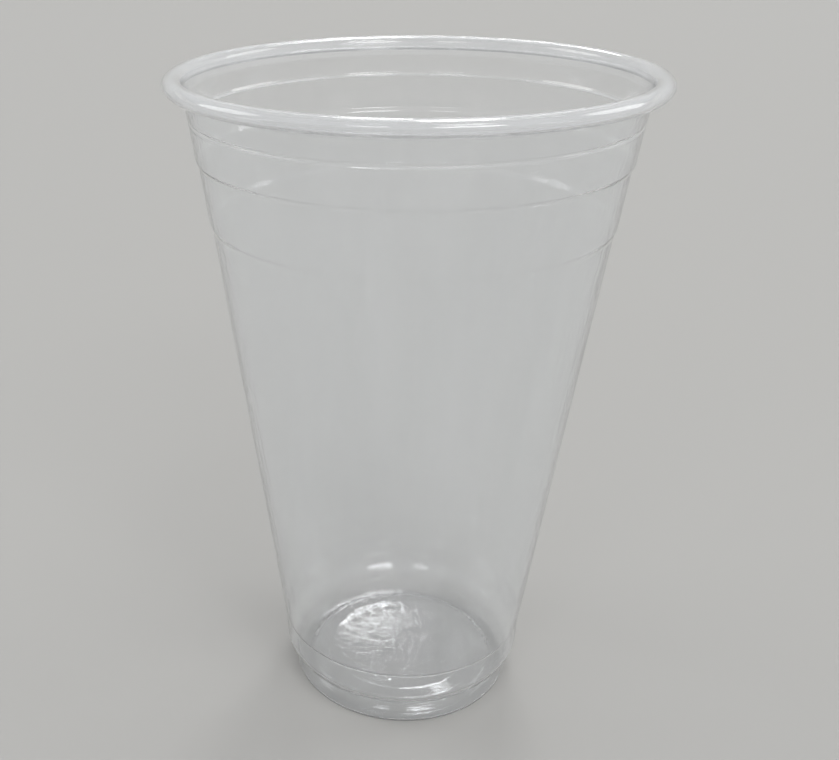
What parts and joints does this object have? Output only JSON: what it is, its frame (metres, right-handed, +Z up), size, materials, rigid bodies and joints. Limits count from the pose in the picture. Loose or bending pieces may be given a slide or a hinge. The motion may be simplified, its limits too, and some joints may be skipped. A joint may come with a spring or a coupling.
{
  "type": "plastic disposable cup",
  "caption": "Clear thin-walled disposable drinking cup with a tapered wall, rolled lip, stacking rings and a raised base.",
  "frame": {"origin": "centre of the ring that the cup stands on, on the table", "axes": "+Z up along the cup's axis, X and Y level; the cup is the same all round"},
  "size_m": [0.095, 0.095, 0.1385],
  "materials": {
    "clear_plastic": "glossy clear sheet plastic, faintly hazy"
  },
  "bodies": {
    "root": {"cup": "clear_plastic"}
  },
  "joints": []
}
